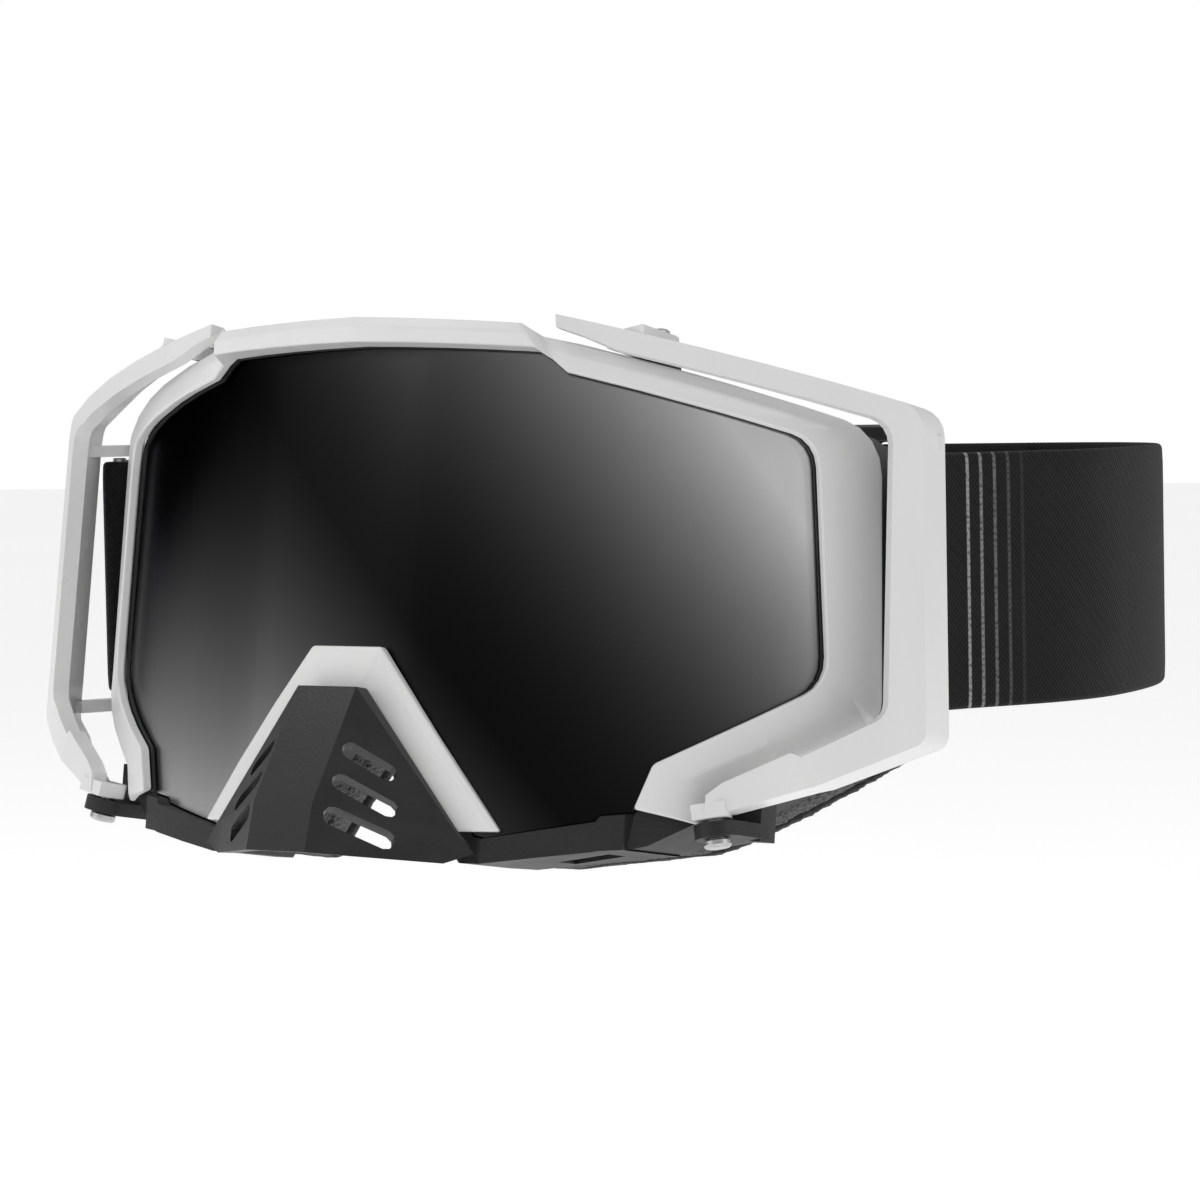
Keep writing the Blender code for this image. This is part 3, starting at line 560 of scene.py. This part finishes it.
def make_band(name, route, mat):
    """Webbing on edge along a plan route in the level frame."""
    bm = bmesh.new()
    uv = bm.loops.layers.uv.new("band_uv")
    samples = resample(route, 1.3)
    points = [p for p, _ in samples]
    profile = band_profile()
    rings = []
    marks = {}
    for (p, run), n in zip(samples, plan_normals(points)):
        ring = []
        for off, v in profile:
            vert = bm.verts.new(level_point(p + n * off, v))
            marks[vert] = (run * MM, v * MM)
            ring.append(vert)
        rings.append(ring)
    count = len(profile)
    for a, b in zip(rings, rings[1:]):
        for k in range(count):
            m = (k + 1) % count
            bm.faces.new((a[k], a[m], b[m], b[k]))
    bm.faces.new(rings[0])
    bm.faces.new(list(reversed(rings[-1])))
    for face in bm.faces:
        for loop in face.loops:
            loop[uv].uv = marks[loop.vert]
    bmesh.ops.recalc_face_normals(bm, faces=bm.faces[:])
    return link(name, finish_mesh(name, bm, 70.0), mat)


def stitch(bm, a, b, out, size):
    """One lying stitch: a thread from a to b that rises off the cloth."""
    way = (b - a).normalized()
    side = way.cross(out).normalized()
    rings = []
    for t, fat, lift in ((0.0, 0.35, -0.5), (0.2, 0.9, 0.35), (0.5, 1.0, 0.6),
                         (0.8, 0.9, 0.35), (1.0, 0.35, -0.5)):
        centre = a.lerp(b, t) + out * (size * lift)
        ring = []
        for k in range(6):
            angle = math.tau * k / 6.0
            ring.append(bm.verts.new(centre + (side * math.cos(angle) + out * math.sin(angle))
                                     * (size * fat)))
        rings.append(ring)
    for low, high in zip(rings, rings[1:]):
        for k in range(6):
            m = (k + 1) % 6
            bm.faces.new((low[k], low[m], high[m], high[k]))
    bm.faces.new(list(reversed(rings[0])))
    bm.faces.new(rings[-1])


def seam(bm, start, end, out, pitch=2.6, size=0.22):
    """A row of stitches from start to end, metres."""
    length = (end - start).length / MM
    count = max(1, int(length / pitch))
    for k in range(count):
        a = start.lerp(end, (k + 0.14) / count)
        b = start.lerp(end, (k + 0.86) / count)
        stitch(bm, a, b, out, size * MM)


def seam_box(bm, route, first, last, off, mirror):
    """A sewn box between two distances on the route: a row along each edge and one across each
    end.
    """
    samples = resample(route, 1.0)
    points = [p for p, _ in samples]
    normals = plan_normals(points)

    def place(run, v):
        i = min(range(len(samples)), key=lambda k: abs(samples[k][1] - run))
        p = points[i] + normals[i] * off
        out = Vector((normals[i].x, normals[i].y, 0.0)) * (1.0 if off > 0 else -1.0)
        return level_point(p, v), out

    edge = STRAP_W / 2.0 - 3.0
    steps = 5
    for v in (-edge, edge):
        for k in range(steps):
            a, out = place(first + (last - first) * k / steps, v)
            b, _ = place(first + (last - first) * (k + 1) / steps, v)
            seam(bm, a, b, out)
    for run in (first, last):
        a, out = place(run, -edge)
        b, _ = place(run, edge)
        seam(bm, a, b, out)


def make_straps(mat, plain, thread):
    route = side_route()
    for side, tag in ((1, "left"), (-1, "right")):
        points = [Vector((p.x * side, p.y)) for p in route]
        band = make_band("strap_%s_webbing" % tag, points, mat)
        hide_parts("strap_" + tag)
        bm = bmesh.new()
        # the tail is sewn to the layer outside it; both faces show the seam
        for off in (STRAP_T / 2.0 + 0.02, -STRAP_T / 2.0 - 0.02):
            seam_box(bm, points, 2.0, 13.0, off, side)
        bmesh.ops.recalc_face_normals(bm, faces=bm.faces[:])
        sewn = link("strap_%s_stitches" % tag, finish_mesh("strap_%s_stitches" % tag, bm), thread)
        for obj in (band, sewn):
            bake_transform(obj)
    make_rear_strap(plain, thread)


def make_rear_strap(plain, thread):
    y = STRAP_REAR_Y - STRAP_T - GAP
    route = [Vector((x, y)) for x in (-REAR_HALF, 0.0, REAR_HALF)]
    rear = make_band("strap_rear_webbing", route, plain)
    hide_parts("strap_rear")
    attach(rear, "frame")
    bm = bmesh.new()
    for side in (-1, 1):
        for x in (60.0, 58.2):
            for off in (-1, 1):
                face = y + off * (STRAP_T / 2.0 + 0.02)
                low = level_point(Vector((side * x, face)), -STRAP_W / 2.0 + 2.0)
                high = level_point(Vector((side * x, face)), STRAP_W / 2.0 - 2.0)
                seam(bm, low, high, Vector((0.0, float(off), 0.0)))
    bmesh.ops.recalc_face_normals(bm, faces=bm.faces[:])
    sewn = link("strap_rear_stitches", finish_mesh("strap_rear_stitches", bm), thread)
    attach(sewn, "frame")


# ---- studio ----------------------------------------------------------------------------
def area_light(name, place, size, power):
    """A soft rectangular light that faces the origin; metres and watts."""
    data = bpy.data.lights.new(name, "AREA")
    data.shape = "RECTANGLE"
    data.size = size[0]
    data.size_y = size[1]
    data.energy = power
    obj = bpy.data.objects.new(name, data)
    bpy.context.scene.collection.objects.link(obj)
    obj.location = place
    obj.rotation_euler = (-Vector(place)).to_track_quat("-Z", "Y").to_euler()


def make_studio():
    world = bpy.data.worlds.new("studio")
    bpy.context.scene.world = world
    world.use_nodes = True
    tree = world.node_tree
    back = tree.nodes["Background"]
    back.inputs["Color"].default_value = (1.0, 1.0, 1.0, 1.0)
    path = tree.nodes.new("ShaderNodeLightPath")
    span = tree.nodes.new("ShaderNodeMapRange")
    span.inputs["To Min"].default_value = 0.52
    span.inputs["To Max"].default_value = 1.0
    tree.links.new(path.outputs["Is Camera Ray"], span.inputs["Value"])
    tree.links.new(span.outputs["Result"], back.inputs["Strength"])
    mesh = bpy.data.meshes.new("floor")
    size = 6.0
    level = CAD_BOX[0].z - 0.10
    mesh.from_pydata([(-size, -size, level), (size, -size, level), (size, size, level),
                      (-size, size, level)], [], [(0, 1, 2, 3)])
    link("floor", mesh, floor_material())
    area_light("key_top", (-0.35, -0.25, 0.95), (0.9, 0.6), 3.2)
    area_light("front_left", (-0.75, -0.85, 0.35), (0.9, 0.9), 1.5)
    area_light("side_right", (0.95, 0.1, 0.35), (0.6, 0.8), 1.3)


def make_camera():
    """A long lens 30 degrees round to the wearer's left and 3 degrees up."""
    azimuth = math.radians(30.0)
    rise = math.radians(3.0)
    roll = math.radians(-1.12)
    back = Vector((math.sin(azimuth) * math.cos(rise), -math.cos(azimuth) * math.cos(rise),
                   math.sin(rise)))
    right = Vector((math.cos(azimuth), math.sin(azimuth), 0.0))
    up = back.cross(right)
    x_axis = right * math.cos(roll) + up * math.sin(roll)
    y_axis = up * math.cos(roll) - right * math.sin(roll)
    data = bpy.data.cameras.new("camera")
    data.sensor_width = 36.0
    data.lens = 121.83
    data.clip_start = 0.01
    cam = bpy.data.objects.new("camera", data)
    bpy.context.scene.collection.objects.link(cam)
    turn = Matrix((x_axis, y_axis, back)).transposed().to_4x4()
    cam.matrix_world = Matrix.Translation(Vector((0.39211, -0.62802, 0.02622))) @ turn
    bpy.context.scene.camera = cam


# ---- assembly ----------------------------------------------------------------------------
def build():
    white = white_plastic()
    black = black_plastic("black_moulding", 0.004, 0.009, 0.46, 0.58, 0.35)
    guard = black_plastic("guard_moulding", 0.004, 0.010, 0.38, 0.52, 0.30)
    slide = black_plastic("slide_moulding", 0.010, 0.018, 0.30, 0.42, 0.2)
    foam = foam_material("face_foam", 0.020, 0.085)
    soft = foam_material("soft_foam", 0.030, 0.120)
    fleece = fleece_material()
    steel = steel_material()
    gasket = rubber_material("gasket_rubber", 0.010, 0.55)
    silicone = rubber_material("silicone", 0.26, 0.42)
    printed = webbing("striped_webbing", (STRIPE_START, STRIPE_PITCH))
    plain = webbing("plain_webbing", None)
    thread = thread_material(0.06)

    skin("front_frame", "frame", white, "white_plastic", 0.55)
    skin("nose_chevron", "frame", white, "white_plastic", 0.5)
    for tag in ("left", "right"):
        skin("outrigger_" + tag, "outrigger_" + tag, white, "white_plastic", 0.6)
        skin("slider_" + tag, "slider_" + tag, slide, "black_plastic", 0.6)
        for node in ("pivot_pin_top_", "pivot_pin_low_"):
            skin(node + tag, "frame", steel, "steel", 0.2)
        skin("strap_bar_" + tag, "outrigger_" + tag, steel, "steel", 0.25)
        soft_copy("vent_foam_low_" + tag, "frame", foam, 0.45, 2, 0.08)
    skin("chassis", "frame", black, "black_plastic", 0.5)
    skin("nose_guard", "nose_guard", guard, "black_plastic", 0.45, limit=20.0)
    skin("lens_gasket", "frame", gasket, "gasket_rubber", 0.15)
    for k in (1, 2, 3):
        skin("grip_line_%d" % k, "frame", silicone, "silicone", 0.3)
    make_lens(mirror_with_painted_reflection())
    soft_copy("vent_foam_top", "frame", foam, 0.45, 2, 0.08)
    soft_copy("foam_base", "frame", foam, 1.0, 4, 0.30)
    soft_copy("foam_middle", "frame", soft, 1.0, 5, 0.45)
    soft_copy("foam_fleece", "frame", fleece, 0.8, 4, 0.30)
    make_straps(printed, plain, thread)
    make_studio()
    make_camera()
    bpy.context.scene.view_settings.view_transform = "Standard"


build()
